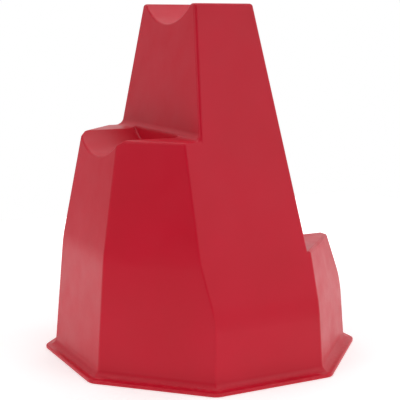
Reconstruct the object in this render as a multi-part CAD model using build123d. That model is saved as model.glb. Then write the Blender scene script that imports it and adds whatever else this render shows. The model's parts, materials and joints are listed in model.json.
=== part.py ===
from build123d import *
from math import atan2, cos, radians, sin, tan
import os

os.makedirs("parts", exist_ok=True)

# A free-standing rail support, moulded as a thin octagonal skirt that carries three steps.
# Millimetres, +Z up.  The origin is on the octagon's axis, on the floor.
# -X is the middle step, +X the low step, and the tall block stands between them.

# ---------------------------------------------------------------- driving dimensions
HEIGHT = 475.0             # top of the tall block
MID_STEP = 304.5           # top of the middle step
LOW_STEP = 159.5           # top of the low step
WALL = 4.0                 # moulded wall

SKIRT_FLAT = 190.5         # octagon half width across flats, at the floor
SKIRT_DRAFT = 4.5          # degrees
LOW_KINK = 89.0            # height where the front, the back and the low step start to lean in
MID_KINK = 158.0           # the same for the middle step

BACK_FOOT = 67.1           # tall block's -X face, where it stands on the middle step
FRONT_FOOT = 69.9          # its +X face, where it stands on the low step
TOP_HALF = 78.0            # half width of its top along Y
BACK_DRAFT = 5.0           # lean of the tall block's -X face, degrees
FRONT_DRAFT = 6.5          # lean of its +X face, degrees
MID_SET = 14.2             # middle step's top edge, in from the skirt's line, at its end
MID_SHOULDER = 21.8        # tall block's foot to where its 45 degree flanks start
LOW_SET = 20.9             # the same for the low step
LOW_SHOULDER = 3.4

DISH_RADIUS = 100.0        # round rest along X in each step
DISH_DEPTH = 26.5
DISH_END = 2.5             # a dish stops this far short of the tall block's face

EDGE = 4.5                 # rounding of the upright and top edges
FOOT_FILLET = 11.0         # hollow rounding where the tall block meets a step

FLANGE_WIDE = 13.0         # how far the foot flange stands out from the skirt
FLANGE_THICK = 4.5
FLANGE_FLARE = 10.0        # hollow rounding from the skirt into the flange
FLANGE_CORNER = 9.0        # rounding of the flange's eight corners
FLANGE_LIP = 1.8           # rounding of the flange's lip

PANEL_DEPTH = 1.5          # shallow stepped panel round the end of the low step
PANEL_HALF = 103.0         # its half width along Y
PANEL_RISE = 23.0          # low kink to its lower edge

PAN_FLOOR = 7.0            # underside of the base pan's floor
PAN_THICK = 4.0
PAN_RIM = 3.5              # rim wall behind the seal groove
PAN_CLEARANCE = 1.0        # base pan to skirt
SEAL_GROOVE = 3.0          # groove depth in the rim
SEAL_TALL = 10.0
SEAL_RISE = 5.0            # pan's floor to the groove
RIM_LAND = 4.0             # groove to the top of the rim
RIB_THICK = 4.0            # ribs the pan stands on
RIB_INSET = 15.5           # boss axes to the outermost ring of ribs
RIB_PITCH = 45.0           # from one ring of ribs to the next
RIB_RINGS = 3

BOSS_RADIUS = 8.0          # eight screw bosses inside the shell
BOSS_INSET = 11.0          # rim's inner face to a boss's axis
WEB_TALL = 26.0            # web that ties a boss to the wall
WEB_CLEARANCE = 4.0        # pan's rim to the web
SCREW_RADIUS = 3.0         # M6
SCREW_LENGTH = 20.0
SCREW_HEAD_RADIUS = 6.0
SCREW_HEAD_TALL = 3.6
SCREW_SOCKET = 4.0         # hexagon socket across flats
THREAD_SLACK = 0.05        # between a thread's two plain cylinders
SCREW_HOLE_RADIUS = 3.3
WASHER_RADIUS = 7.0
WASHER_THICK = 1.5
INSERT_RADIUS = 4.25
INSERT_LENGTH = 12.0
INSERT_FIT = 0.02

FILLER_DROP = 72.0         # top of the tall block to the filler's centre, on its +X face
FILLER_BORE = 18.0
FILLER_WALL = 4.0          # barrel's wall
SPOUT_WALL = 3.0
SPOUT_LONG = 11.5
CAP_WALL = 5.0             # spout to the cap's outside
CAP_TALL = 15.0
CAP_TOP = 3.0
CAP_FLUTES = 20
FLUTE_RADIUS = 2.1
FLUTE_OUT = 1.0            # flutes' axes outside the cap

DRAIN_RISE = 24.0          # pan's rim to the drain's centre, on the skirt's +X face
DRAIN_BORE = 10.0
DRAIN_WALL = 3.0
PLUG_LAND = 5.0            # bore to the outside of the plug's head
PLUG_HEAD_TALL = 4.0
PLUG_LONG = 12.0
WING_TALL = 5.0
WING_THICK = 5.0
WING_INSET = 1.5           # head's edge to the ends of the wing

GASKET_THICK = 1.5
GASKET_INSET = 1.0         # flange or head to the edge of its gasket or seal
FITTING_FLANGE = 4.0       # thickness of both fittings' flanges
FILLER_LAND = 8.0          # barrel to the flange's edge
DRAIN_LAND = 6.0
FITTING_TAIL = 14.0        # barrel that stands inside the wall
NUT_TALL = 8.0
NUT_LAND = 6.0             # nut's wall, barrel to flat
HOLE_SLACK = 0.3           # barrel in the shell's hole
MOVING_SLACK = 0.4         # cap on spout, plug in bush
SEAL_SLACK = 0.2           # plug in its seal
SEAL_GAP = 0.1             # seal to the roof of the cap and the head of the plug

# ---------------------------------------------------------------- what follows from them
PANEL_FOOT = LOW_KINK + PANEL_RISE
FLOOR_TOP = PAN_FLOOR + PAN_THICK
SEAL_FOOT = FLOOR_TOP + SEAL_RISE
RIM_TOP = SEAL_FOOT + SEAL_TALL + RIM_LAND
GROOVE_INSET = WALL + PAN_CLEARANCE + SEAL_GROOVE
WEB_FOOT = RIM_TOP + WEB_CLEARANCE
BOSS_TOP = WEB_FOOT + WEB_TALL
FLANGE_FLAT = SKIRT_FLAT + FLANGE_WIDE
FILLER_HEIGHT = HEIGHT - FILLER_DROP
FILLER_BARREL = FILLER_BORE + FILLER_WALL
FILLER_SPOUT = FILLER_BORE + SPOUT_WALL
FILLER_CAP = FILLER_SPOUT + CAP_WALL
DRAIN_HEIGHT = RIM_TOP + DRAIN_RISE
DRAIN_BARREL = DRAIN_BORE + DRAIN_WALL
DRAIN_STEM = DRAIN_BORE - MOVING_SLACK
DRAIN_PLUG_HEAD = DRAIN_BORE + PLUG_LAND
FLANGE_FACE = GASKET_THICK + FITTING_FLANGE     # outside of both fittings' flanges
BIG = HEIGHT + 2 * FLANGE_FLAT                  # reaches past the whole moulding
TURNS = range(0, 360, 45)                       # the octagon's eight sides
HALF_SIDE = 22.5                                # half the turn from one side to the next
NEAR = 0.01                                     # how close counts as lying on a plane


# ---------------------------------------------------------------- outer form, as leaning planes
def skirt_at(height):
    return SKIRT_FLAT - height * tan(radians(SKIRT_DRAFT))


def face_plane(turn, low, low_reach, high, high_reach, inset):
    """The plane of a leaning face that looks `turn` degrees from +X, moved in by `inset`."""
    lean = atan2(low_reach - high_reach, high - low)
    flat = Vector(cos(radians(turn)), sin(radians(turn)), 0)
    normal = flat * cos(lean) + Vector(0, 0, sin(lean))
    return Plane(origin=flat * low_reach + Vector(0, 0, low) - normal * inset, z_dir=normal)


def skirt_faces(inset):
    return [face_plane(turn, 0, SKIRT_FLAT, HEIGHT, skirt_at(HEIGHT), inset) for turn in TURNS]


def wall_at(height):
    """Half width between the front and the back walls, above the low kink."""
    return TOP_HALF + (HEIGHT - height) * (skirt_at(LOW_KINK) - TOP_HALF) / (HEIGHT - LOW_KINK)


def end_wall(side, inset):
    """Front and back of all three blocks: one plane each, from the low kink to the top."""
    return face_plane(side * 90, LOW_KINK, wall_at(LOW_KINK), HEIGHT, TOP_HALF, inset)


def tall_face_at(turn, height):
    """Reach of the tall block's +X face (turn 0) or -X face (turn 180)."""
    if turn == 0:
        return FRONT_FOOT - (height - LOW_STEP) * tan(radians(FRONT_DRAFT))
    return BACK_FOOT - (height - MID_STEP) * tan(radians(BACK_DRAFT))


def tall_face(turn, inset):
    return face_plane(turn, 0, tall_face_at(turn, 0), HEIGHT, tall_face_at(turn, HEIGHT), inset)


def flank_at(turn, step, shoulder):
    """Reach of a 45 degree flank that starts `shoulder` beyond the tall block's foot."""
    return (tall_face_at(turn, step) + shoulder + wall_at(step)) * cos(radians(45))


def middle_face(turn, inset):
    reach = skirt_at(MID_STEP) - MID_SET if turn == 180 else flank_at(180, MID_STEP, MID_SHOULDER)
    return face_plane(turn, MID_KINK, skirt_at(MID_KINK), MID_STEP, reach, inset)


def low_face(turn, inset):
    reach = skirt_at(LOW_STEP) - LOW_SET if turn == 0 else flank_at(0, LOW_STEP, LOW_SHOULDER)
    return face_plane(turn, LOW_KINK, skirt_at(LOW_KINK), LOW_STEP, reach, inset)


def keep_inside(solid, planes):
    for plane in planes:
        solid = split(solid, bisect_by=plane, keep=Keep.BOTTOM)
    return solid


def slab(low_x, high_x, top, foot):
    return Pos((low_x + high_x) / 2, 0, (top + foot) / 2) * Box(high_x - low_x, BIG, top - foot)


def block_form(inset, foot):
    """Skirt and three steps, without dishes or roundings, every face moved in by `inset`."""
    walls = [end_wall(1, inset), end_wall(-1, inset)]
    tall = keep_inside(slab(-BIG, BIG, HEIGHT - inset, LOW_STEP - inset),
                       walls + [tall_face(0, inset), tall_face(180, inset)])
    middle = keep_inside(slab(-BIG, 0, MID_STEP - inset, foot),
                         walls + [middle_face(turn, inset) for turn in (135, 180, 225)])
    low = keep_inside(slab(0, BIG, LOW_STEP - inset, foot),
                      walls + [low_face(turn, inset) for turn in (-45, 0, 45)])
    return keep_inside((tall + middle + low).clean(), skirt_faces(inset))


def middle_foot_edges(form, inset):
    """The hollow edge where the tall block's -X face meets the middle step."""
    face = tall_face(180, inset)
    return [edge for edge in level_edges(form, MID_STEP - inset)
            if abs((edge @ 0.5 - face.origin).dot(face.z_dir)) < NEAR]


def low_foot_edges(form):
    """The hollow edge where its +X face meets the low step."""
    face = tall_face(0, 0)
    return [edge for edge in level_edges(form, LOW_STEP)
            if abs((edge @ 0.5 - face.origin).dot(face.z_dir)) < NEAR]


def dishes(radius, stop):
    """Round rests along X; the middle and low ones end `stop` short of the tall block's faces."""
    spans = (
        (HEIGHT, -BIG, BIG),
        (MID_STEP, -BIG, -tall_face_at(180, MID_STEP) - stop),
        (LOW_STEP, tall_face_at(0, LOW_STEP) + stop, BIG),
    )
    cutters = Part()
    for step, low_x, high_x in spans:
        axis = Plane(origin=(low_x, 0, step - DISH_DEPTH + DISH_RADIUS), z_dir=(1, 0, 0))
        cutters += axis * Cylinder(radius, high_x - low_x, align=(Align.CENTER, Align.CENTER, Align.MIN))
    return cutters


def end_panel(inset):
    """What the stepped panel takes off the end of the low step."""
    low_x = tall_face_at(0, 0)
    window = Pos(low_x + BIG / 2, 0, PANEL_FOOT + BIG / 2) * Box(BIG, 2 * PANEL_HALF, BIG)
    return window - keep_inside(window, [low_face(turn, inset + PANEL_DEPTH) for turn in (-45, 0, 45)])


# ---------------------------------------------------------------- the shell
def octagon(flat, foot, top):
    turned = Rot(0, 0, HALF_SIDE) * RegularPolygon(flat / cos(radians(HALF_SIDE)), len(TURNS))
    return Pos(0, 0, foot) * extrude(turned, top - foot)


def reach(point):
    """Distance from the axis, measured square to the nearest side of the octagon."""
    return max(point.X * cos(radians(turn)) + point.Y * sin(radians(turn)) for turn in TURNS)


def level_edges(form, height):
    return form.edges().filter_by_position(Axis.Z, height - NEAR, height + NEAR)


def rounded_form():
    """Outside of the moulding on its flange, with its edges rounded, before the dishes."""
    form = block_form(0, 0) + octagon(FLANGE_FLAT, 0, FLANGE_THICK)
    beyond = (SKIRT_FLAT + FLANGE_FLAT) / 2
    middle_foot = middle_foot_edges(form, 0)
    hollow = middle_foot + low_foot_edges(form)
    edges = [edge for edge in form.edges()
             if (edge @ 0.5).Z > FLANGE_THICK + NEAR and edge not in hollow]
    form = form.fillet(FOOT_FILLET, middle_foot).fillet(EDGE, edges)
    corners = [edge for edge in form.edges().filter_by(Axis.Z) if reach(edge @ 0.5) > beyond]
    form = form.fillet(FLANGE_CORNER, corners)
    root = [edge for edge in level_edges(form, FLANGE_THICK) if reach(edge @ 0.5) < beyond]
    form = form.fillet(FLANGE_FLARE, root)
    lip = [edge for edge in level_edges(form, FLANGE_THICK) if reach(edge @ 0.5) > FLANGE_FLAT - NEAR]
    return form.fillet(FLANGE_LIP, lip)


def hollow_foot():
    """What the single skin leaves empty under the flare; it reaches below the floor."""
    tall = FLANGE_THICK + 2 * FLANGE_FLARE
    stub = keep_inside(slab(-BIG, BIG, tall, -1), skirt_faces(WALL))
    stub += octagon(FLANGE_FLAT + FLANGE_FLARE, -FLANGE_FLARE, 0)
    root = [edge for edge in level_edges(stub, 0) if reach(edge @ 0.5) < SKIRT_FLAT]
    return stub.fillet(FLANGE_FLARE + WALL, root)


def tank():
    """The room inside the moulding, open at the floor."""
    form = block_form(WALL, -1)
    form = form.fillet(FOOT_FILLET + WALL, middle_foot_edges(form, WALL))
    form = form - dishes(DISH_RADIUS + WALL, DISH_END - WALL) - end_panel(WALL)
    return form + hollow_foot()


def boss_reach():
    """From the axis to the line of the screws, square to a side of the octagon."""
    return skirt_at(RIM_TOP) - (GROOVE_INSET + PAN_RIM) / cos(radians(SKIRT_DRAFT)) - BOSS_INSET


def boss_places():
    corner = boss_reach() / cos(radians(HALF_SIDE))
    return [Rot(0, 0, turn + HALF_SIDE) * Pos(corner, 0, 0) for turn in TURNS]


def rod(radius, foot, top):
    return Pos(0, 0, foot) * Cylinder(radius, top - foot, align=(Align.CENTER, Align.CENTER, Align.MIN))


def ring(radius, hole, foot, top):
    return rod(radius, foot, top) - rod(hole, foot - 1, top + 1)


def bosses():
    web = Pos(SKIRT_FLAT / 4, 0, WEB_FOOT + WEB_TALL / 2) * Box(SKIRT_FLAT / 2, WALL, WEB_TALL)
    post = rod(BOSS_RADIUS, FLOOR_TOP, BOSS_TOP) + web
    group = Part()
    for place in boss_places():
        group += place * post
    return group & block_form(WALL / 4, 0)


def boss_hole():
    hole = rod(INSERT_RADIUS + INSERT_FIT, FLOOR_TOP - 1, FLOOR_TOP + INSERT_LENGTH)
    return hole + rod(SCREW_HOLE_RADIUS, FLOOR_TOP, FLOOR_TOP + SCREW_LENGTH)


def outer_shell():
    shell = rounded_form() - dishes(DISH_RADIUS, DISH_END) - end_panel(0) - tank() + bosses()
    for place in boss_places():
        shell -= place * boss_hole()
    shell -= filler_place() * rod(FILLER_BARREL + HOLE_SLACK, -3 * WALL, WALL)
    return shell - drain_place() * rod(DRAIN_BARREL + HOLE_SLACK, -2 * WALL, WALL)


# ---------------------------------------------------------------- base pan and its fastenings
def skirt_ring(foot, top, outer_inset, inner_inset):
    outer = keep_inside(slab(-BIG, BIG, top, foot), skirt_faces(outer_inset))
    return outer - keep_inside(slab(-BIG, BIG, top, foot), skirt_faces(inner_inset))


def pan_ribs():
    """Rings and spokes that the pan stands on."""
    widest = boss_reach() - RIB_INSET
    ribs = Part()
    for index in range(RIB_RINGS):
        flat = widest - index * RIB_PITCH
        core = octagon(flat - RIB_THICK / 2, -1, PAN_FLOOR + 1)
        ribs += octagon(flat + RIB_THICK / 2, 0, PAN_FLOOR) - core
    for turn in range(0, 180, 45):
        ribs += Rot(0, 0, turn) * Pos(0, 0, PAN_FLOOR / 2) * Box(2 * widest, RIB_THICK, PAN_FLOOR)
    return ribs


def base_pan():
    outer = WALL + PAN_CLEARANCE
    pan = keep_inside(slab(-BIG, BIG, FLOOR_TOP, PAN_FLOOR), skirt_faces(outer)) + pan_ribs()
    pan += skirt_ring(FLOOR_TOP, RIM_TOP, outer, GROOVE_INSET + PAN_RIM)
    pan -= skirt_ring(SEAL_FOOT, SEAL_FOOT + SEAL_TALL, 0, GROOVE_INSET)
    for place in boss_places():
        pan -= place * rod(SCREW_HOLE_RADIUS, PAN_FLOOR - 1, FLOOR_TOP + 1)
    return pan


def base_seal():
    return skirt_ring(SEAL_FOOT, SEAL_FOOT + SEAL_TALL, WALL, GROOVE_INSET)


def at_bosses(piece):
    return Compound(children=[place * piece for place in boss_places()])


def base_screws():
    seat = PAN_FLOOR - WASHER_THICK
    foot = seat - SCREW_HEAD_TALL
    screw = rod(SCREW_HEAD_RADIUS, foot, seat) + rod(SCREW_RADIUS, seat, seat + SCREW_LENGTH)
    socket = extrude(RegularPolygon(SCREW_SOCKET / 2, 6, major_radius=False), SCREW_HEAD_TALL / 2)
    return at_bosses(screw - Pos(0, 0, foot) * socket)


def base_washers():
    return at_bosses(ring(WASHER_RADIUS, SCREW_RADIUS + THREAD_SLACK, PAN_FLOOR - WASHER_THICK, PAN_FLOOR))


def base_inserts():
    return at_bosses(ring(INSERT_RADIUS, SCREW_RADIUS + THREAD_SLACK, FLOOR_TOP, FLOOR_TOP + INSERT_LENGTH))


# ---------------------------------------------------------------- filler and drain
def filler_place():
    """On the tall block's +X face, looking straight out of it."""
    centre = (tall_face_at(0, FILLER_HEIGHT), 0, FILLER_HEIGHT)
    return Plane(origin=centre, x_dir=(0, 1, 0), z_dir=tall_face(0, 0).z_dir)


def drain_place():
    """On the skirt's +X face, looking straight out of it."""
    centre = (skirt_at(DRAIN_HEIGHT), 0, DRAIN_HEIGHT)
    return Plane(origin=centre, x_dir=(0, 1, 0), z_dir=skirt_faces(0)[0].z_dir)


def gasket(flange, barrel):
    return ring(flange - GASKET_INSET, barrel + HOLE_SLACK, 0, GASKET_THICK)


def bushing(flange, barrel, bore):
    """Flanged barrel that goes in from outside and is nutted inside."""
    body = rod(flange, GASKET_THICK, FLANGE_FACE) + rod(barrel, -WALL - FITTING_TAIL, GASKET_THICK)
    return body - rod(bore, -WALL - FITTING_TAIL - 1, FLANGE_FACE + 1)


def back_nut(barrel):
    body = extrude(RegularPolygon(barrel + NUT_LAND, 6, major_radius=False), NUT_TALL)
    return Pos(0, 0, -WALL - NUT_TALL) * body - rod(barrel + THREAD_SLACK, -BIG, BIG)


def filler_neck():
    body = bushing(FILLER_BARREL + FILLER_LAND, FILLER_BARREL, FILLER_BORE)
    return body + ring(FILLER_SPOUT, FILLER_BORE, FLANGE_FACE, FLANGE_FACE + SPOUT_LONG)


def filler_seal():
    rim = FLANGE_FACE + SPOUT_LONG
    return ring(FILLER_SPOUT, FILLER_BORE, rim, rim + GASKET_THICK)


def filler_cap():
    roof = FLANGE_FACE + SPOUT_LONG + GASKET_THICK + SEAL_GAP
    top = roof + CAP_TOP
    cap = rod(FILLER_CAP, top - CAP_TALL, top)
    cap = cap.fillet(CAP_TOP / 2, level_edges(cap, top))
    cap -= rod(FILLER_SPOUT + MOVING_SLACK, top - CAP_TALL - 1, roof)
    flute = Pos(FILLER_CAP + FLUTE_OUT, 0, 0) * rod(FLUTE_RADIUS, top - CAP_TALL - 1, top + 1)
    for index in range(CAP_FLUTES):
        cap -= Rot(0, 0, index * 360 / CAP_FLUTES) * flute
    return cap


def drain_bush():
    return bushing(DRAIN_BARREL + DRAIN_LAND, DRAIN_BARREL, DRAIN_BORE)


def drain_seal():
    outside = DRAIN_PLUG_HEAD - GASKET_INSET
    return ring(outside, DRAIN_STEM + SEAL_SLACK, FLANGE_FACE, FLANGE_FACE + GASKET_THICK)


def drain_plug():
    seat = FLANGE_FACE + GASKET_THICK + SEAL_GAP
    head_top = seat + PLUG_HEAD_TALL
    plug = rod(DRAIN_PLUG_HEAD, seat, head_top) + rod(DRAIN_STEM, seat - PLUG_LONG, seat)
    wing_long = 2 * (DRAIN_PLUG_HEAD - WING_INSET)
    return plug + Pos(0, 0, head_top + WING_TALL / 2) * Box(wing_long, WING_THICK, WING_TALL)


# ---------------------------------------------------------------- every node
NODES = {
    "outer_shell": outer_shell,
    "base_pan": base_pan,
    "base_seal": base_seal,
    "base_screws": base_screws,
    "base_washers": base_washers,
    "base_inserts": base_inserts,
    "filler_neck": lambda: filler_place() * filler_neck(),
    "filler_gasket": lambda: filler_place() * gasket(FILLER_BARREL + FILLER_LAND, FILLER_BARREL),
    "filler_nut": lambda: filler_place() * back_nut(FILLER_BARREL),
    "filler_seal": lambda: filler_place() * filler_seal(),
    "filler_cap": lambda: filler_place() * filler_cap(),
    "drain_bush": lambda: drain_place() * drain_bush(),
    "drain_gasket": lambda: drain_place() * gasket(DRAIN_BARREL + DRAIN_LAND, DRAIN_BARREL),
    "drain_nut": lambda: drain_place() * back_nut(DRAIN_BARREL),
    "drain_seal": lambda: drain_place() * drain_seal(),
    "drain_plug": lambda: drain_place() * drain_plug(),
}

for node, build in NODES.items():
    export_step(build(), f"parts/{node}.step")
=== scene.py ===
"""Looks for the moulded rail block: its red skin, the black fittings, studio floor, light and camera.

The skin is a closed mesh in the CAD shell's place. A sharp form is rounded, its foot is lofted out to
the flange, and the rests, the panel, the tank inside and the holes are cut from it. The fittings are
turned about their own axes.
"""
import json
from math import atan2, cos, pi, radians, sin, tan

import bmesh
import bpy
from mathutils import Matrix, Vector


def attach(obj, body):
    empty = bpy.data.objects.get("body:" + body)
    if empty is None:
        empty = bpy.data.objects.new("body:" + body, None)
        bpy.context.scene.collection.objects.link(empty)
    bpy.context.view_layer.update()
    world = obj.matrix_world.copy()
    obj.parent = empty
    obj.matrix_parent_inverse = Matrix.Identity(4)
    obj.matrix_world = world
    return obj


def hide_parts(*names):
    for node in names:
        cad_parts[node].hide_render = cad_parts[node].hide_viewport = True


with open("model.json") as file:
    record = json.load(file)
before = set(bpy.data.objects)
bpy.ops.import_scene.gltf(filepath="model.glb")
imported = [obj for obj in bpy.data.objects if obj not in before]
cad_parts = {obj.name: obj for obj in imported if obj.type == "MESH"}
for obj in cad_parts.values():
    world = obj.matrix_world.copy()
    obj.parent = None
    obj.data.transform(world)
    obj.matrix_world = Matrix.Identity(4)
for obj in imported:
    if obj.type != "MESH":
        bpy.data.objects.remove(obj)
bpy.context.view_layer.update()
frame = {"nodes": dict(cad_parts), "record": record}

# ---------------------------------------------------------------- sizes, in metres, as in the CAD model
HEIGHT = 0.475             # top of the tall block
MID_STEP = 0.3045
LOW_STEP = 0.1595
WALL = 0.004
SKIRT_FLAT = 0.1905        # octagon's half width across flats, at the floor
SKIRT_DRAFT = radians(4.5)
LOW_KINK = 0.089           # height where the front, the back and the low step start to lean in
MID_KINK = 0.158           # the same for the middle step
BACK_FOOT = 0.0671         # tall block's -X face, where it stands on the middle step
FRONT_FOOT = 0.0699        # its +X face, where it stands on the low step
TOP_HALF = 0.078           # half width of its top along Y
BACK_DRAFT = radians(5.0)
FRONT_DRAFT = radians(6.5)
MID_SET = 0.0142           # middle step's top edge, in from the skirt's line, at its end
MID_SHOULDER = 0.0218      # tall block's foot to where its 45 degree flanks start
LOW_SET = 0.0209           # the same for the low step
LOW_SHOULDER = 0.0034
DISH_RADIUS = 0.100        # round rest along X in each step
DISH_DEPTH = 0.0265
DISH_END = 0.0025          # a rest stops this far short of the tall block's face
EDGE = 0.0045              # rounding of the upright and top edges
FOOT_FILLET = 0.011        # hollow rounding where the tall block meets the middle step
FLANGE_WIDE = 0.013
FLANGE_FLAT = SKIRT_FLAT + FLANGE_WIDE
FLANGE_THICK = 0.0045
FLANGE_FLARE = 0.010
FLANGE_LIP = 0.0018
PANEL_DEPTH = 0.0015
PANEL_HALF = 0.103
PANEL_FOOT = 0.112

RIM_TOP = 0.030            # top of the floor pan's rim
GROOVE_INSET = 0.008
PAN_RIM = 0.0035
FLOOR_TOP = 0.011
BOSS_INSET = 0.011
BOSS_RADIUS = 0.008
BOSS_TOP = 0.060
WEB_FOOT = 0.034
INSERT_HOLE = 0.00427
INSERT_LENGTH = 0.012
SCREW_HOLE = 0.0033
SCREW_LENGTH = 0.020

# fittings: heights along their own axis start at the wall's outer face
GASKET_THICK = 0.0015
FITTING_FLANGE = 0.004
FLANGE_FACE = GASKET_THICK + FITTING_FLANGE
FITTING_TAIL = 0.014       # barrel that stands inside the wall
SEAL_GAP = 0.0001
HOLE_SLACK = 0.0003        # barrel in the skin's hole
FILLER_HEIGHT = 0.403
FILLER_BORE = 0.018
FILLER_SPOUT = 0.021
FILLER_BARREL = 0.022
FILLER_FLANGE = 0.030
SPOUT_LONG = 0.0115
SPOUT_RIM = FLANGE_FACE + SPOUT_LONG
CAP_ROOF = SPOUT_RIM + GASKET_THICK + SEAL_GAP
CAP_TOP = 0.003
CAP_TALL = 0.015
CAP_CREST = CAP_ROOF + CAP_TOP
CAP_FOOT = CAP_CREST - CAP_TALL
CAP_RADIUS = 0.026
CAP_BORE = 0.0214
CAP_FLUTES = 20
CAP_PITCH = 0.004
DRAIN_HEIGHT = 0.054
DRAIN_BORE = 0.010
DRAIN_BARREL = 0.013
DRAIN_FLANGE = 0.019
PLUG_SEAT = FLANGE_FACE + GASKET_THICK + SEAL_GAP
PLUG_HEAD = 0.015
PLUG_HEAD_TALL = 0.004
PLUG_LONG = 0.012
PLUG_TOP = PLUG_SEAT + PLUG_HEAD_TALL
PLUG_FOOT = PLUG_SEAT - PLUG_LONG
PLUG_STEM = 0.0096
PLUG_PITCH = 0.003
WING_TALL = 0.005
WING_THICK = 0.005
WING_INSET = 0.0015

# roundings and details that only the looks have
KINK_ROUND = 0.180         # where a face changes its lean
DISH_RIM = 0.0026          # rim of a round rest
DISH_ROOT = 0.0022         # rest against its end wall
FLANGE_CORNER = 0.018      # the lip's corners seen from above
FLANGE_HEEL = 0.0006       # rounding of the lip's lower edge
TANK_RIM = DISH_RIM / 4    # rim of a rest, seen from inside the tank
PANEL_BACK = 0.075         # where the panel's cut starts, clear of the tall block
PANEL_START = 0.0001       # how far its foot is sunk
BREAK = 0.0005             # broken edges of the fittings
FLUTE_DEPTH = 0.0011
FLUTE_HALF = radians(4.6)
CAP_THREAD = 0.0011        # depth of each thread
PLUG_THREAD = 0.0009
THREAD_START = 0.001       # plain length before a thread
THREAD_STEP = 0.00025      # between the rows of points that carry a thread
THREAD_GROOVE = 0.30       # share of a pitch that the flat root of a groove takes
THREAD_FLANK = 0.35        # share that its two flanks take together
CAP_SUNK = 0.66            # share of the cap's radius that its sunk top takes
CAP_SUNK_EDGE = 0.70       # where the slope out of it ends
WING_ROUND = 3 * BREAK
WING_STEPS = 4

# building values
BIG = 0.7                  # past the block on every side
NEAR = 1e-4                # how close counts as on a line
CLEAR = 5e-6               # how far a tangent cutter runs past the face it meets
PAST = 0.03                # how far a rest's cutter runs past the form
PANEL_PAST = 0.010         # how far the form kept in the panel runs past its cutter
WELD = 2e-6                # points closer than this are one
FLAT = radians(0.3)        # faces that meet at less than this are one
CREASE = radians(1)        # edges flatter than this are left alone
KINK_TURN = radians(20)    # level edges flatter than this are a change of lean
FITTING_CREASE = radians(40)
SEAM = 0.020               # the foot below here is lofted, the body above has rounded edges
ARC_STEPS = 6              # facets in a rounded edge
DISH_STEPS = 60
FLARE_STEPS = 8
LIP_STEPS = 5
HEEL_STEPS = 2
BOSS_SIDES = 64
HOLE_SIDES = 48
NECK_SIDES = 120
CAP_SIDES = 360
DRAIN_SIDES = 96
TURNS = range(0, 360, 45)
HALF_TURN = radians(22.5)


# ---------------------------------------------------------------- mesh tools
def mesh_object(name, bm):
    mesh = bpy.data.meshes.new(name)
    bm.to_mesh(mesh)
    bm.free()
    obj = bpy.data.objects.new(name, mesh)
    bpy.context.scene.collection.objects.link(obj)
    return obj


def apply_modifiers(obj):
    graph = bpy.context.evaluated_depsgraph_get()
    mesh = bpy.data.meshes.new_from_object(obj.evaluated_get(graph))
    obj.modifiers.clear()
    old = obj.data
    obj.data = mesh
    bpy.data.meshes.remove(old)
    return obj


def combine(obj, other, operation):
    """Joins `other` to obj, or cuts it out of obj, and removes it."""
    modifier = obj.modifiers.new("combine", "BOOLEAN")
    modifier.operation = operation
    modifier.solver = "MANIFOLD"
    modifier.object = other
    apply_modifiers(obj)
    mesh = other.data
    bpy.data.objects.remove(other)
    bpy.data.meshes.remove(mesh)
    return obj


def edit(obj, change):
    bm = bmesh.new()
    bm.from_mesh(obj.data)
    change(bm)
    bm.to_mesh(obj.data)
    bm.free()
    return obj


def merge_flat(bm):
    """Melts the edges that cross a flat face."""
    bmesh.ops.remove_doubles(bm, verts=bm.verts, dist=WELD)
    bmesh.ops.dissolve_limit(bm, angle_limit=FLAT, verts=bm.verts, edges=bm.edges)


def round_edges(obj, radius_of, segments):
    """Rounds each edge by the radius that radius_of gives it, all in one pass."""
    bm = bmesh.new()
    bm.from_mesh(obj.data)
    name = "bevel_weight_edge"
    layer = bm.edges.layers.float.get(name) or bm.edges.layers.float.new(name)
    offsets = {}
    for edge in bm.edges:
        radius = radius_of(edge) if len(edge.link_faces) == 2 else 0
        if radius and edge.calc_face_angle() > CREASE:
            offsets[edge] = radius * tan(edge.calc_face_angle() / 2)
    widest = max(offsets.values())
    for edge in bm.edges:
        edge[layer] = offsets.get(edge, 0) / widest
    bm.to_mesh(obj.data)
    bm.free()
    modifier = obj.modifiers.new("round", "BEVEL")
    modifier.limit_method = "WEIGHT"
    modifier.width = widest
    modifier.segments = segments
    modifier.use_clamp_overlap = False
    return apply_modifiers(obj)


def bridge(bm, first, second):
    """Faces between two rings of points, either of which may be one point over and over."""
    for index in range(len(first)):
        corners = (first[index - 1], first[index], second[index], second[index - 1])
        bm.faces.new(list(dict.fromkeys(corners)))


def box_mesh(low, high):
    bm = bmesh.new()
    bmesh.ops.create_cube(bm, size=1)
    size = Vector(high) - Vector(low)
    centre = (Vector(high) + Vector(low)) / 2
    bmesh.ops.transform(bm, matrix=Matrix.Translation(centre) @ Matrix.Diagonal((*size, 1)), verts=bm.verts)
    return bm


def keep_inside(bm, planes):
    """Cuts a convex solid down to what lies behind every plane."""
    for point, normal in planes:
        cut = bmesh.ops.bisect_plane(bm, geom=bm.verts[:] + bm.edges[:] + bm.faces[:], dist=1e-7,
                                     plane_co=point, plane_no=normal, clear_outer=True)
        rim = [item for item in cut["geom_cut"] if isinstance(item, bmesh.types.BMEdge)]
        if rim:
            bmesh.ops.contextual_create(bm, geom=rim)
    bmesh.ops.recalc_face_normals(bm, faces=bm.faces)
    return bm


# ---------------------------------------------------------------- the block's leaning faces
def skirt_at(height):
    return SKIRT_FLAT - height * tan(SKIRT_DRAFT)


def face_plane(turn, low, low_reach, high, high_reach, inset):
    """Point and normal of a leaning face that looks `turn` degrees from +X, moved in by `inset`."""
    lean = atan2(low_reach - high_reach, high - low)
    flat = Vector((cos(radians(turn)), sin(radians(turn)), 0))
    normal = flat * cos(lean) + Vector((0, 0, sin(lean)))
    return flat * low_reach + Vector((0, 0, low)) - normal * inset, normal


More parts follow.
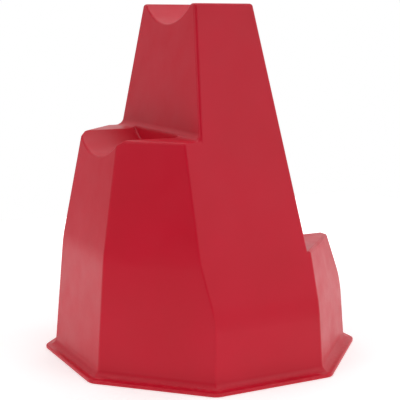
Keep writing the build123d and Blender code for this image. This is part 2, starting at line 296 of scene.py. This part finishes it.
def skirt_face(turn, inset):
    return face_plane(turn, 0, SKIRT_FLAT, HEIGHT, skirt_at(HEIGHT), inset)


def wall_at(height):
    """Half width between the front and the back walls, above the low kink."""
    return TOP_HALF + (HEIGHT - height) * (skirt_at(LOW_KINK) - TOP_HALF) / (HEIGHT - LOW_KINK)


def end_wall(side, inset):
    return face_plane(side * 90, LOW_KINK, wall_at(LOW_KINK), HEIGHT, TOP_HALF, inset)


def tall_face_at(turn, height):
    if turn == 0:
        return FRONT_FOOT - (height - LOW_STEP) * tan(FRONT_DRAFT)
    return BACK_FOOT - (height - MID_STEP) * tan(BACK_DRAFT)


def tall_face(turn, inset):
    return face_plane(turn, 0, tall_face_at(turn, 0), HEIGHT, tall_face_at(turn, HEIGHT), inset)


def flank_at(turn, step, shoulder):
    """Reach of a 45 degree flank that starts `shoulder` beyond the tall block's foot."""
    return (tall_face_at(turn, step) + shoulder + wall_at(step)) * cos(pi / 4)


def middle_face(turn, inset):
    reach = skirt_at(MID_STEP) - MID_SET if turn == 180 else flank_at(180, MID_STEP, MID_SHOULDER)
    return face_plane(turn, MID_KINK, skirt_at(MID_KINK), MID_STEP, reach, inset)


def low_reach(turn):
    return skirt_at(LOW_STEP) - LOW_SET if turn == 0 else flank_at(0, LOW_STEP, LOW_SHOULDER)


def low_face(turn, inset):
    return face_plane(turn, LOW_KINK, skirt_at(LOW_KINK), LOW_STEP, low_reach(turn), inset)


def notch(turn, step, inset):
    """The room above a step, outside the tall block's face."""
    point, normal = tall_face(turn, inset)
    low, high = ((-BIG, -BIG, step - inset), (BIG, BIG, BIG))
    return mesh_object("notch", keep_inside(box_mesh(low, high), [(point, -normal)]))


def block_form(inset, foot):
    """Skirt and three steps with sharp edges, every face moved in by `inset`."""
    planes = [end_wall(1, inset), end_wall(-1, inset)] + [skirt_face(turn, inset) for turn in TURNS]
    planes += [middle_face(turn, inset) for turn in (135, 180, 225)]
    planes += [low_face(turn, inset) for turn in (-45, 0, 45)]
    form = mesh_object("form", keep_inside(box_mesh((-BIG, -BIG, foot), (BIG, BIG, HEIGHT - inset)), planes))
    combine(form, notch(180, MID_STEP, inset), "DIFFERENCE")
    combine(form, notch(0, LOW_STEP, inset), "DIFFERENCE")
    return edit(form, merge_flat)


def octagon_ring(flat, radius, height, steps):
    """Points round an octagon with rounded corners, steps + 1 to a corner."""
    points = []
    corner = (flat - radius) / cos(HALF_TURN)
    for side in range(8):
        turn = HALF_TURN * (2 * side + 1)
        centre = Vector((corner * cos(turn), corner * sin(turn), height))
        for step in range(steps + 1):
            angle = turn + HALF_TURN * (2 * step / max(steps, 1) - 1)
            points.append(centre + radius * Vector((cos(angle), sin(angle), 0)))
    return points


def arc(centre, radius, start, stop, steps):
    return [(centre[0] + radius * cos(start + (stop - start) * step / steps),
             centre[1] + radius * sin(start + (stop - start) * step / steps)) for step in range(steps + 1)]


def flare(foot, radius, inset):
    """Hollow curve from the skirt's face, moved in by `inset`, out along a level at height `foot`."""
    z = foot + radius
    x = SKIRT_FLAT + (radius - inset - z * sin(SKIRT_DRAFT)) / cos(SKIRT_DRAFT)
    return arc((x, z), radius, pi + SKIRT_DRAFT, 1.5 * pi, FLARE_STEPS)


def outer_foot():
    """Half width across flats and height of the foot's rings, from the skirt round to the underside."""
    lip = arc((FLANGE_FLAT - FLANGE_LIP, FLANGE_THICK - FLANGE_LIP), FLANGE_LIP, pi / 2, 0,
              LIP_STEPS)
    heel = arc((FLANGE_FLAT - FLANGE_HEEL, FLANGE_HEEL), FLANGE_HEEL, 0, -pi / 2, HEEL_STEPS)
    return flare(FLANGE_THICK, FLANGE_FLARE, 0) + lip + heel


def inner_foot():
    """The same for the hollow inside, which runs down past the floor."""
    rings = flare(-CLEAR, FLANGE_FLARE + WALL, WALL)
    return rings + [(rings[-1][0], -FLANGE_THICK)]


def by_angle(point):
    """Order round the axis, which starts just past +X so that no point falls on the break."""
    return (atan2(point.y, point.x) - NEAR) % (2 * pi)


def loft_foot(obj, profile, edge_radius, steps):
    """Carries the body's lower edge down and out through the profile's rings, and closes it underneath."""
    bm = bmesh.new()
    bm.from_mesh(obj.data)
    underside = min(bm.faces, key=lambda face: face.calc_center_median().z)
    ring = sorted(underside.verts, key=lambda vert: by_angle(vert.co))
    bmesh.ops.delete(bm, geom=[underside], context="FACES_ONLY")
    for flat, height in profile:
        share = max(0, min(1, (flat - SKIRT_FLAT) / FLANGE_WIDE))
        radius = edge_radius + (FLANGE_CORNER - EDGE) * share if edge_radius else 0
        points = sorted(octagon_ring(flat, radius, height, steps), key=by_angle)
        lower = [bm.verts.new(point) for point in points]
        bridge(bm, ring, lower)
        ring = lower
    bm.faces.new(ring)
    bmesh.ops.recalc_face_normals(bm, faces=bm.faces)
    bm.to_mesh(obj.data)
    bm.free()


def middle(edge):
    return (edge.verts[0].co + edge.verts[1].co) / 2


def rest_section(step, radius, rim, inset):
    """Half width and height along a round rest's section, up over its rounded rim and clear of the step."""
    axis = step - DISH_DEPTH + DISH_RADIUS
    rim_z = step - inset - rim
    rim_y = ((radius + rim) ** 2 - (axis - rim_z) ** 2) ** 0.5
    meet = atan2(rim_y, axis - rim_z)
    hollow = arc((0, axis), radius, -pi / 2 - meet, -pi / 2 + meet, DISH_STEPS)
    over = arc((rim_y, rim_z), rim, pi / 2 + meet, pi / 2, ARC_STEPS)[1:]
    right = [(y, z + CLEAR) for y, z in over] + [(rim_y, step + PAST)]
    left = [(-y, z) for y, z in reversed(right)]
    return left + hollow + right


def way_out(planes, y, z, side):
    """Where a line along X at this y and z leaves the form, on its +X (1) or -X (-1) side."""
    found = [(point.dot(normal) - y * normal.y - z * normal.z) / normal.x for point, normal in planes]
    return min(found) if side > 0 else max(found)


def end_rows(runs_out, rim):
    """Inset from a rest's end and growth of its radius there: a rounded rim, or a rounded root."""
    turns = [pi / 2 * turn / ARC_STEPS for turn in range(ARC_STEPS + 1)]
    if runs_out:
        rows = [(rim * (1 - sin(turn)), rim * (1 - cos(turn))) for turn in turns[:-1]]
        return rows + [(-CLEAR, rim), (-2 * PAST, rim)]
    return [(DISH_ROOT * (1 - sin(turn)), -DISH_ROOT * (1 - cos(turn))) for turn in turns]


def rest_cutter(step, ends, inset):
    """Cutter of a round rest from its -X end to its +X end, each the planes it runs out through
    or the X of the wall it stops at."""
    rim = DISH_RIM if inset == 0 else TANK_RIM
    rings = []
    for side, end in zip((-1, 1), ends):
        walled = isinstance(end, float)
        rows = end_rows(not walled, rim)
        for into, grown in reversed(rows) if side < 0 else rows:
            section = rest_section(step, DISH_RADIUS + inset + grown, rim, inset)
            exits = [end if walled else way_out(end, y, min(z, step), side) for y, z in section]
            rings.append([Vector((x - side * into, y, z)) for x, (y, z) in zip(exits, section)])
    bm = bmesh.new()
    loops = [[bm.verts.new(point) for point in ring] for ring in rings]
    for first, second in zip(loops, loops[1:]):
        bridge(bm, first, second)
    bm.faces.new(loops[0])
    bm.faces.new(loops[-1])
    bmesh.ops.recalc_face_normals(bm, faces=bm.faces)
    return mesh_object("rest", bm)


def cut_rests(obj, inset):
    """Takes the three round rests out of a form whose faces are moved in by `inset`."""
    stop = DISH_END - inset
    middle_planes = [middle_face(turn, inset) for turn in (135, 180, 225)]
    low_planes = [low_face(turn, inset) for turn in (-45, 0, 45)]
    rests = ((HEIGHT, [tall_face(180, inset)], [tall_face(0, inset)]),
             (MID_STEP, middle_planes, -tall_face_at(180, MID_STEP) - stop),
             (LOW_STEP, tall_face_at(0, LOW_STEP) + stop, low_planes))
    for step, back, front in rests:
        combine(obj, rest_cutter(step, (back, front), inset), "DIFFERENCE")


def panel_face(turn, inset):
    """A face of the shallow panel, which sinks in evenly from its foot to the step."""
    reach = low_reach(turn)
    share = (PANEL_FOOT - LOW_KINK) / (LOW_STEP - LOW_KINK)
    start = skirt_at(LOW_KINK) + (reach - skirt_at(LOW_KINK)) * share
    return face_plane(turn, PANEL_FOOT, start - PANEL_START, LOW_STEP, reach - PANEL_DEPTH, inset)


def cut_panel(obj, inset, radius):
    """The shallow panel round the end of the low step, with its upper edges rounded."""
    low, high = Vector((PANEL_BACK, -PANEL_HALF, PANEL_FOOT)), Vector((BIG, PANEL_HALF, BIG))
    past = Vector((PANEL_PAST, PANEL_PAST, PANEL_PAST))
    ends = Vector((high.x, high.y + past.y, LOW_STEP - inset + CLEAR))
    planes = [panel_face(turn, inset) for turn in (-45, 0, 45)]
    kept = mesh_object("kept", keep_inside(box_mesh(low - past, ends), planes))
    if radius:
        round_edges(kept, lambda edge: radius if is_inside(middle(edge), low - past, ends) else 0, ARC_STEPS)
    cutter = mesh_object("panel", box_mesh(low, high))
    combine(cutter, kept, "DIFFERENCE")
    return combine(obj, cutter, "DIFFERENCE")


def is_inside(spot, low, high):
    """Whether a point is off the sides and the foot of a box."""
    return spot.x > low.x + NEAR and abs(spot.y) < high.y - NEAR and spot.z > low.z + NEAR


# ---------------------------------------------------------------- the red skin
def is_foot(spot, step, face):
    """Whether a point is where the tall block's face stands on a step."""
    return abs(spot.z - step) < NEAR and abs(spot.x - face) < NEAR


def body_radius(edge):
    """Rounding radius of each edge of the sharp form, none at the seam and at the low step's inner corner."""
    spot = middle(edge)
    level = abs(edge.verts[0].co.z - edge.verts[1].co.z) < NEAR
    if spot.z < SEAM + NEAR or is_foot(spot, LOW_STEP, tall_face_at(0, LOW_STEP)):
        return 0
    if is_foot(spot, MID_STEP, -tall_face_at(180, MID_STEP)):
        return FOOT_FILLET
    return KINK_ROUND if level and edge.calc_face_angle() < KINK_TURN else EDGE


def outside():
    form = block_form(0, SEAM)
    round_edges(form, body_radius, ARC_STEPS)
    loft_foot(form, outer_foot(), EDGE, ARC_STEPS)
    cut_rests(form, 0)
    return cut_panel(form, 0, EDGE)


def tank():
    """The hollow inside the moulding, open at the floor."""
    form = block_form(WALL, SEAM)
    loft_foot(form, inner_foot(), 0, 0)
    cut_rests(form, WALL)
    return cut_panel(form, WALL, 0)


def fitting_frame(reach, height, lean):
    """Where a fitting stands: its own z runs out of the +X wall, from the wall's face."""
    return Matrix.Translation((reach, 0, height)) @ Matrix.Rotation(pi / 2 - lean, 4, "Y")


FILLER_PLACE = fitting_frame(tall_face_at(0, FILLER_HEIGHT), FILLER_HEIGHT, FRONT_DRAFT)
DRAIN_PLACE = fitting_frame(skirt_at(DRAIN_HEIGHT), DRAIN_HEIGHT, SKIRT_DRAFT)


def rod(radius, foot, top, sides, place):
    """A round bar along a place's own z."""
    bm = bmesh.new()
    bmesh.ops.create_cone(bm, cap_ends=True, segments=sides, radius1=radius, radius2=radius, depth=top - foot)
    bmesh.ops.transform(bm, matrix=place @ Matrix.Translation((0, 0, (foot + top) / 2)), verts=bm.verts)
    return mesh_object("rod", bm)


def boss_places():
    reach = skirt_at(RIM_TOP) - (GROOVE_INSET + PAN_RIM) / cos(SKIRT_DRAFT) - BOSS_INSET
    corner = Matrix.Translation((reach / cos(HALF_TURN), 0, 0))
    return [Matrix.Rotation(radians(turn) + HALF_TURN, 4, "Z") @ corner for turn in TURNS]


def add_bosses(obj):
    """Eight screw bosses in the foot's corners, each tied to the wall by a web."""
    for place in boss_places():
        wall = (skirt_at(BOSS_TOP) - WALL / 4) / cos(HALF_TURN) - place.translation.length
        web = mesh_object("web", box_mesh((0, -WALL / 2, WEB_FOOT), (wall, WALL / 2, BOSS_TOP)))
        web.data.transform(place)
        combine(obj, web, "UNION")
        combine(obj, rod(BOSS_RADIUS, FLOOR_TOP, BOSS_TOP, BOSS_SIDES, place), "UNION")
        for radius, foot, long in ((INSERT_HOLE, -WALL, INSERT_LENGTH), (SCREW_HOLE, 0, SCREW_LENGTH)):
            hole = rod(radius, FLOOR_TOP + foot, FLOOR_TOP + long, HOLE_SIDES, place)
            combine(obj, hole, "DIFFERENCE")


shell = outside()
combine(shell, tank(), "DIFFERENCE")
add_bosses(shell)
for barrel, place in ((FILLER_BARREL, FILLER_PLACE), (DRAIN_BARREL, DRAIN_PLACE)):
    combine(shell, rod(barrel + HOLE_SLACK, -3 * WALL, 3 * WALL, NECK_SIDES, place), "DIFFERENCE")
shell.name = "moulded_skin"
for face in shell.data.polygons:
    face.use_smooth = True
weighted = shell.modifiers.new("normals", "WEIGHTED_NORMAL")
weighted.mode = "FACE_AREA_WITH_ANGLE"
weighted.keep_sharp = True
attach(shell, "block")
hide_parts("outer_shell")


# ---------------------------------------------------------------- filler and drain
def turned(name, profile, sides, reshape):
    """Solid of revolution of a run of (radius, height) points, which closes on itself or ends on the axis."""
    bm = bmesh.new()
    rings = []
    for radius, height in profile:
        if radius == 0:
            rings.append([bm.verts.new((0, 0, height))] * sides)
            continue
        angles = [2 * pi * side / sides for side in range(sides)]
        reaches = [reshape(radius, height, angle) for angle in angles]
        rings.append([bm.verts.new((r * cos(a), r * sin(a), height)) for r, a in zip(reaches, angles)])
    if profile[0][0] > 0:
        rings.append(rings[0])
    for first, second in zip(rings, rings[1:]):
        bridge(bm, first, second)
    bmesh.ops.recalc_face_normals(bm, faces=bm.faces)
    return mesh_object(name, bm)


def up(radius, start, stop):
    """Close rows of points up or down a cylinder, for a thread to be cut in."""
    count = round(abs(stop - start) / THREAD_STEP)
    return [(radius, start + (stop - start) * index / count) for index in range(count + 1)]


def groove(height, angle, pitch, start, stop):
    """Depth of a right-handed thread's groove, 0 at its crest and 1 at its root.

    It fades in over a quarter turn at both ends.
    """
    phase = (height / pitch - angle / (2 * pi)) % 1
    ridge = max(0, min(1, (abs(2 * phase - 1) - THREAD_GROOVE) / THREAD_FLANK))
    fade = max(0, min(1, (height - start) / (pitch / 4), (stop - height) / (pitch / 4)))
    return (1 - ridge * ridge * (3 - 2 * ridge)) * fade


def bushing_profile(flange, barrel, inside, outlet, rim):
    """A flanged bushing: up the bore, round the rim, down the spout if it has one, and down the barrel."""
    foot = -WALL - FITTING_TAIL
    face = FLANGE_FACE
    points = [(inside + BREAK, foot)] + up(inside, foot + BREAK, rim - BREAK) + [(inside + BREAK, rim)]
    if outlet:
        points += [(outlet - BREAK, rim)] + up(outlet, rim - BREAK, face + 2 * BREAK)
        points += [(outlet + BREAK, face + BREAK / 2), (outlet + 2 * BREAK, face)]
    points += [(flange - BREAK, face), (flange, face - BREAK), (flange, GASKET_THICK + BREAK)]
    return points + [(flange - BREAK, GASKET_THICK), (barrel, GASKET_THICK), (barrel, foot + BREAK),
                     (barrel - BREAK, foot)]


def neck_radius(radius, height, angle):
    if radius != FILLER_SPOUT:
        return radius
    start = FLANGE_FACE + THREAD_START
    return radius - CAP_THREAD * groove(height, angle, CAP_PITCH, start, SPOUT_RIM - BREAK)


def bush_radius(radius, height, angle):
    if radius != DRAIN_BORE:
        return radius
    foot = -WALL - FITTING_TAIL
    return radius + PLUG_THREAD * groove(height, angle, PLUG_PITCH, foot + BREAK, FLANGE_FACE - BREAK)


def cap_radius(radius, height, angle):
    """The thread in the cap's bore and the flutes round its outside."""
    if radius == CAP_BORE:
        return radius + CAP_THREAD * groove(height, angle, CAP_PITCH, CAP_FOOT + THREAD_START, CAP_ROOF)
    if radius < CAP_RADIUS - CAP_TOP / 2:
        return radius
    gap = 2 * pi / CAP_FLUTES
    off = abs((angle + gap / 2) % gap - gap / 2)
    depth = FLUTE_DEPTH * (0.5 + 0.5 * cos(min(pi, pi * off / FLUTE_HALF)))
    return min(radius, CAP_RADIUS - depth)


def cap_profile():
    """From the shallow dish in the cap's top, round its edge and down, and up the bore to the roof."""
    top_round = CAP_TOP / 2
    shoulder = arc((CAP_RADIUS - top_round, CAP_CREST - top_round), top_round, pi / 2, 0, ARC_STEPS)
    points = [(0, CAP_CREST - BREAK), (CAP_RADIUS * CAP_SUNK, CAP_CREST - BREAK)]
    points += [(CAP_RADIUS * CAP_SUNK_EDGE, CAP_CREST)]
    points += shoulder + [(CAP_RADIUS, CAP_FOOT + BREAK), (CAP_RADIUS - BREAK, CAP_FOOT)]
    points += [(CAP_BORE + BREAK, CAP_FOOT)] + up(CAP_BORE, CAP_FOOT + BREAK, CAP_ROOF)
    return points + [(0, CAP_ROOF)]


def plug_radius(radius, height, angle):
    if radius != PLUG_STEM:
        return radius
    return radius - PLUG_THREAD * groove(height, angle, PLUG_PITCH, PLUG_FOOT + BREAK, FLANGE_FACE)


def plug_profile():
    """From the middle of the plug's head, round its edge, and down the stem to its tapered end."""
    points = [(0, PLUG_TOP), (PLUG_HEAD - 2 * BREAK, PLUG_TOP)]
    points += [(PLUG_HEAD - BREAK / 2, PLUG_TOP - BREAK / 2), (PLUG_HEAD, PLUG_TOP - 2 * BREAK)]
    points += [(PLUG_HEAD, PLUG_SEAT + BREAK), (PLUG_HEAD - BREAK, PLUG_SEAT)]
    points += up(PLUG_STEM, PLUG_SEAT, PLUG_FOOT + 2 * BREAK)
    return points + [(PLUG_STEM - 4 * BREAK, PLUG_FOOT), (0, PLUG_FOOT)]


def wing():
    """The grip across the drain plug's head, sunk a little into it."""
    half_long, half_thick = PLUG_HEAD - WING_INSET, WING_THICK / 2
    low = (-half_long, -half_thick, PLUG_TOP - BREAK)
    block = mesh_object("wing", box_mesh(low, (half_long, half_thick, PLUG_TOP + WING_TALL)))
    return round_edges(block, lambda edge: WING_ROUND if middle(edge).z > PLUG_TOP else 0, WING_STEPS)


def fit(piece, place, body, node):
    """Stands a fitting in its place with its own x along Y, on its body and for its CAD node."""
    piece.data.transform(place @ Matrix.Rotation(pi / 2, 4, "Z"))
    for face in piece.data.polygons:
        face.use_smooth = True
    piece.data.set_sharp_from_angle(angle=FITTING_CREASE)
    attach(piece, body)
    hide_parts(node)
    return piece


neck_outline = bushing_profile(FILLER_FLANGE, FILLER_BARREL, FILLER_BORE, FILLER_SPOUT, SPOUT_RIM)
bush_outline = bushing_profile(DRAIN_FLANGE, DRAIN_BARREL, DRAIN_BORE, 0, FLANGE_FACE)
neck = turned("threaded_neck", neck_outline, NECK_SIDES, neck_radius)
cap = turned("fluted_cap", cap_profile(), CAP_SIDES, cap_radius)
bush = turned("threaded_bush", bush_outline, DRAIN_SIDES, bush_radius)
plug = combine(turned("wing_plug", plug_profile(), DRAIN_SIDES, plug_radius), wing(), "UNION")
fittings = [fit(neck, FILLER_PLACE, "block", "filler_neck"),
            fit(cap, FILLER_PLACE, "filler_cap", "filler_cap"),
            fit(bush, DRAIN_PLACE, "block", "drain_bush"),
            fit(plug, DRAIN_PLACE, "drain_plug", "drain_plug")]


# ---------------------------------------------------------------- materials
def connect(tree, sockets, shader_node):
    """Feeds each named input of a node from the output given for it, or sets it to a plain value."""
    for name, value in sockets.items():
        if isinstance(value, bpy.types.NodeSocket):
            tree.links.new(value, shader_node.inputs[name])
        else:
            shader_node.inputs[name].default_value = value
    return shader_node


def noise_of(tree, per_metre, detail, stretch=(1, 1, 1)):
    """Noise in the piece's own space with about `per_metre` blots to a metre."""
    place = tree.nodes.new("ShaderNodeTexCoord").outputs["Object"]
    mapping = connect(tree, {"Vector": place, "Scale": stretch}, tree.nodes.new("ShaderNodeMapping"))
    texture = tree.nodes.new("ShaderNodeTexNoise")
    connect(tree, {"Vector": mapping.outputs[0], "Scale": per_metre, "Detail": detail}, texture)
    return texture.outputs["Fac"]


def ranged(tree, source, low, high, start=0.3, stop=0.7):
    """Carries a value from the range start..stop to low..high."""
    sockets = {"Value": source, "From Min": start, "From Max": stop, "To Min": low, "To Max": high}
    return connect(tree, sockets, tree.nodes.new("ShaderNodeMapRange")).outputs[0]


def mixed(tree, share, first, second):
    mix = tree.nodes.new("ShaderNodeMix")
    mix.data_type = "RGBA"
    for index, value in ((0, share), (6, first), (7, second)):
        if isinstance(value, bpy.types.NodeSocket):
            tree.links.new(value, mix.inputs[index])
        else:
            mix.inputs[index].default_value = value if index == 0 else (*value, 1)
    return mix.outputs[2]


def multiplied(tree, first, second):
    maths = tree.nodes.new("ShaderNodeMath")
    maths.operation = "MULTIPLY"
    tree.links.new(first, maths.inputs[0])
    tree.links.new(second, maths.inputs[1])
    return maths.outputs[0]


def raised(tree, height, depth, normal=None):
    sockets = {"Height": height, "Distance": depth, "Strength": 1.0}
    bump = connect(tree, sockets, tree.nodes.new("ShaderNodeBump"))
    if normal:
        tree.links.new(normal, bump.inputs["Normal"])
    return bump.outputs[0]


def surface(name, colour, shade, smooth, rough, grain, depth, stretch=(1, 1, 1), ripple=0.0, worn=None,
            **shader):
    """A surface that drifts between two colours and two roughnesses, with fine grain.

    `grain` is in blots to a metre, and `depth` and `ripple` are heights in metres. `worn` is the colour
    of the scuffs near the floor and of the specks, and `shader` sets the shader's other inputs.
    """
    material = bpy.data.materials.new(name)
    material.use_nodes = True
    tree = material.node_tree
    base = mixed(tree, ranged(tree, noise_of(tree, per_metre=11, detail=4), low=0, high=1), colour, shade)
    dull = ranged(tree, noise_of(tree, per_metre=34, detail=6, stretch=stretch), smooth, rough)
    normal = raised(tree, noise_of(tree, per_metre=7, detail=2), ripple) if ripple else None
    normal = raised(tree, noise_of(tree, grain, detail=3, stretch=stretch), depth, normal)
    if worn:
        height = tree.nodes.new("ShaderNodeSeparateXYZ")
        tree.links.new(tree.nodes.new("ShaderNodeTexCoord").outputs["Object"], height.inputs[0])
        near_floor = ranged(tree, height.outputs["Z"], low=1, high=0, start=0.001, stop=0.011)
        streaks = noise_of(tree, per_metre=160, detail=8, stretch=(1, 1, 5))
        scratches = ranged(tree, streaks, low=0, high=1, start=0.5, stop=0.64)
        scuffed = multiplied(tree, near_floor, scratches)
        base = mixed(tree, scuffed, base, worn)
        dots = noise_of(tree, per_metre=420, detail=9)
        specks = ranged(tree, dots, low=0, high=0.35, start=0.70, stop=0.78)
        base = mixed(tree, specks, base, worn)
    sockets = {"Base Color": base, "Roughness": dull, "Normal": normal, **shader}
    connect(tree, sockets, tree.nodes["Principled BSDF"])
    return material


RED = (0.625, 0.003, 0.025)
RED_SHADE = (0.585, 0.003, 0.021)
RED_WORN = (0.64, 0.035, 0.052)
looks = {
    "shell_plastic": surface("red_polyethylene", RED, RED_SHADE, smooth=0.34, rough=0.44,
                             grain=1500, depth=0.00003, ripple=0.0006, worn=RED_WORN,
                             **{"Specular IOR Level": 0.32}),
    "base_plastic": surface("black_base_plastic", (0.030, 0.030, 0.033), (0.017, 0.017, 0.019),
                            smooth=0.48, rough=0.66, grain=1100, depth=0.00006, ripple=0.0004),
    "fitting_plastic": surface("black_fitting_plastic", (0.024, 0.024, 0.027), (0.014, 0.014, 0.016),
                               smooth=0.36, rough=0.52, grain=1700, depth=0.00003),
    "seal_rubber": surface("black_rubber", (0.022, 0.021, 0.020), (0.012, 0.012, 0.012),
                           smooth=0.70, rough=0.88, grain=900, depth=0.00005),
    "screw_steel": surface("plated_steel", (0.60, 0.60, 0.58), (0.46, 0.46, 0.45),
                           smooth=0.24, rough=0.40, grain=2600, depth=0.00001,
                           stretch=(1, 1, 6), Metallic=1.0),
    "insert_brass": surface("turned_brass", (0.76, 0.53, 0.21), (0.60, 0.40, 0.15),
                            smooth=0.26, rough=0.42, grain=2600, depth=0.00001,
                            stretch=(1, 1, 9), Metallic=1.0),
}
dressed = [(shell, "shell_plastic")] + [(fitting, "fitting_plastic") for fitting in fittings]
for piece, slot in dressed:
    piece.data.materials.clear()     # apply_modifiers leaves an empty slot
    piece.data.materials.append(looks[slot])
for subpart in frame["record"]["subparts"]:
    node = frame["nodes"][subpart["node"]]
    for slot in node.material_slots:
        slot.material = looks[subpart["material_slot"]]

# ---------------------------------------------------------------- camera
CAMERA_AT = Vector((-0.66628, -1.27699, 0.45590))
CAMERA_YAW = radians(27.461)
CAMERA_DOWN = radians(9.806)
CAMERA_ROLL = radians(0.149)
FOCAL_MM = 94.595
SENSOR_MM = 36
camera = bpy.data.objects.new("camera", bpy.data.cameras.new("camera"))
bpy.context.scene.collection.objects.link(camera)
camera.data.lens = FOCAL_MM
camera.data.sensor_width = SENSOR_MM
camera.location = CAMERA_AT
look = (Matrix.Rotation(-CAMERA_YAW, 4, "Z") @ Matrix.Rotation(pi / 2 - CAMERA_DOWN, 4, "X")
        @ Matrix.Rotation(CAMERA_ROLL, 4, "Z"))
camera.rotation_euler = look.to_euler()
bpy.context.scene.camera = camera

# ---------------------------------------------------------------- studio
BRIGHT_WALL = (0.75, 0.64, 0.15)     # direction of the room's brightest wall
DIM_ROOM, BRIGHT_ROOM = 0.15, 0.85   # radiance of the room away from that wall and at it
DIM_FROM, BRIGHT_FROM = -0.3, 0.9    # cosines to that wall between which it brightens
SOFTBOXES = {                        # direction from the block, size in metres, radiance
    "key": ((0.44, -0.84, 0.58), 2.2, 0.85),
    "left": ((-0.90, 0.04, 0.56), 2.0, 1.05),
    "top": ((0.05, 0.10, 1.00), 1.8, 1.3),
}
SOFTBOX_AWAY = 2.4
FLOOR_HALF = 1.0
FLOOR_FOOT, FLOOR_FACE = -0.02, -0.0003    # its faces' heights, the upper just clear of the block
FLOOR_GLOW, FAR_GLOW = 0.38, 0.85    # painted glow of the floor, which also lights the block from below: near the block and far from it
GLOW_FROM, GLOW_TO = 0.35, 0.9       # distances between which it grows
bpy.context.scene.view_settings.view_transform = "Standard"
world = bpy.data.worlds.new("studio")
world.use_nodes = True
sky = world.node_tree
facing = sky.nodes.new("ShaderNodeVectorMath")
facing.operation = "DOT_PRODUCT"
facing.inputs[1].default_value = Vector(BRIGHT_WALL).normalized()
sky.links.new(sky.nodes.new("ShaderNodeTexCoord").outputs["Generated"], facing.inputs[0])
strength = ranged(sky, facing.outputs["Value"], DIM_ROOM, BRIGHT_ROOM, DIM_FROM, BRIGHT_FROM)
room = connect(sky, {"Color": (1, 1, 1, 1), "Strength": strength}, sky.nodes.new("ShaderNodeBackground"))
backdrop = connect(sky, {"Color": (1, 1, 1, 1)}, sky.nodes["Background"])
either = sky.nodes.new("ShaderNodeMixShader")
sky.links.new(sky.nodes.new("ShaderNodeLightPath").outputs["Is Camera Ray"], either.inputs[0])
sky.links.new(room.outputs[0], either.inputs[1])
sky.links.new(backdrop.outputs[0], either.inputs[2])
sky.links.new(either.outputs[0], sky.nodes["World Output"].inputs["Surface"])
bpy.context.scene.world = world

for name, (direction, size, radiance) in SOFTBOXES.items():
    lamp = bpy.data.lights.new(name, "AREA")
    lamp.size = size
    lamp.energy = 4 * size * size * radiance
    softbox = bpy.data.objects.new(name, lamp)
    bpy.context.scene.collection.objects.link(softbox)
    away = Vector(direction).normalized()
    softbox.location = away * SOFTBOX_AWAY + Vector((0, 0, HEIGHT / 2))
    softbox.rotation_euler = away.to_track_quat("Z", "Y").to_euler()
    softbox.visible_camera = False

floor_box = box_mesh((-FLOOR_HALF, -FLOOR_HALF, FLOOR_FOOT), (FLOOR_HALF, FLOOR_HALF, FLOOR_FACE))
floor = mesh_object("floor", floor_box)
paper_and_glow = surface("pale_paper_painted_glow", (0.86, 0.86, 0.86), (0.84, 0.84, 0.84), smooth=0.85, rough=0.95,
                grain=300, depth=0.00002)
sheet = paper_and_glow.node_tree
# Painted light: the floor glows, dimmer near the block and brighter away from it, so that it reads as an
# evenly lit white floor.
reach = sheet.nodes.new("ShaderNodeVectorMath")
reach.operation = "LENGTH"
sheet.links.new(sheet.nodes.new("ShaderNodeTexCoord").outputs["Object"], reach.inputs[0])
glow = ranged(sheet, reach.outputs["Value"], FLOOR_GLOW, FAR_GLOW, GLOW_FROM, GLOW_TO)
connect(sheet, {"Emission Color": (1, 1, 1, 1), "Emission Strength": glow}, sheet.nodes["Principled BSDF"])
floor.data.materials.append(paper_and_glow)
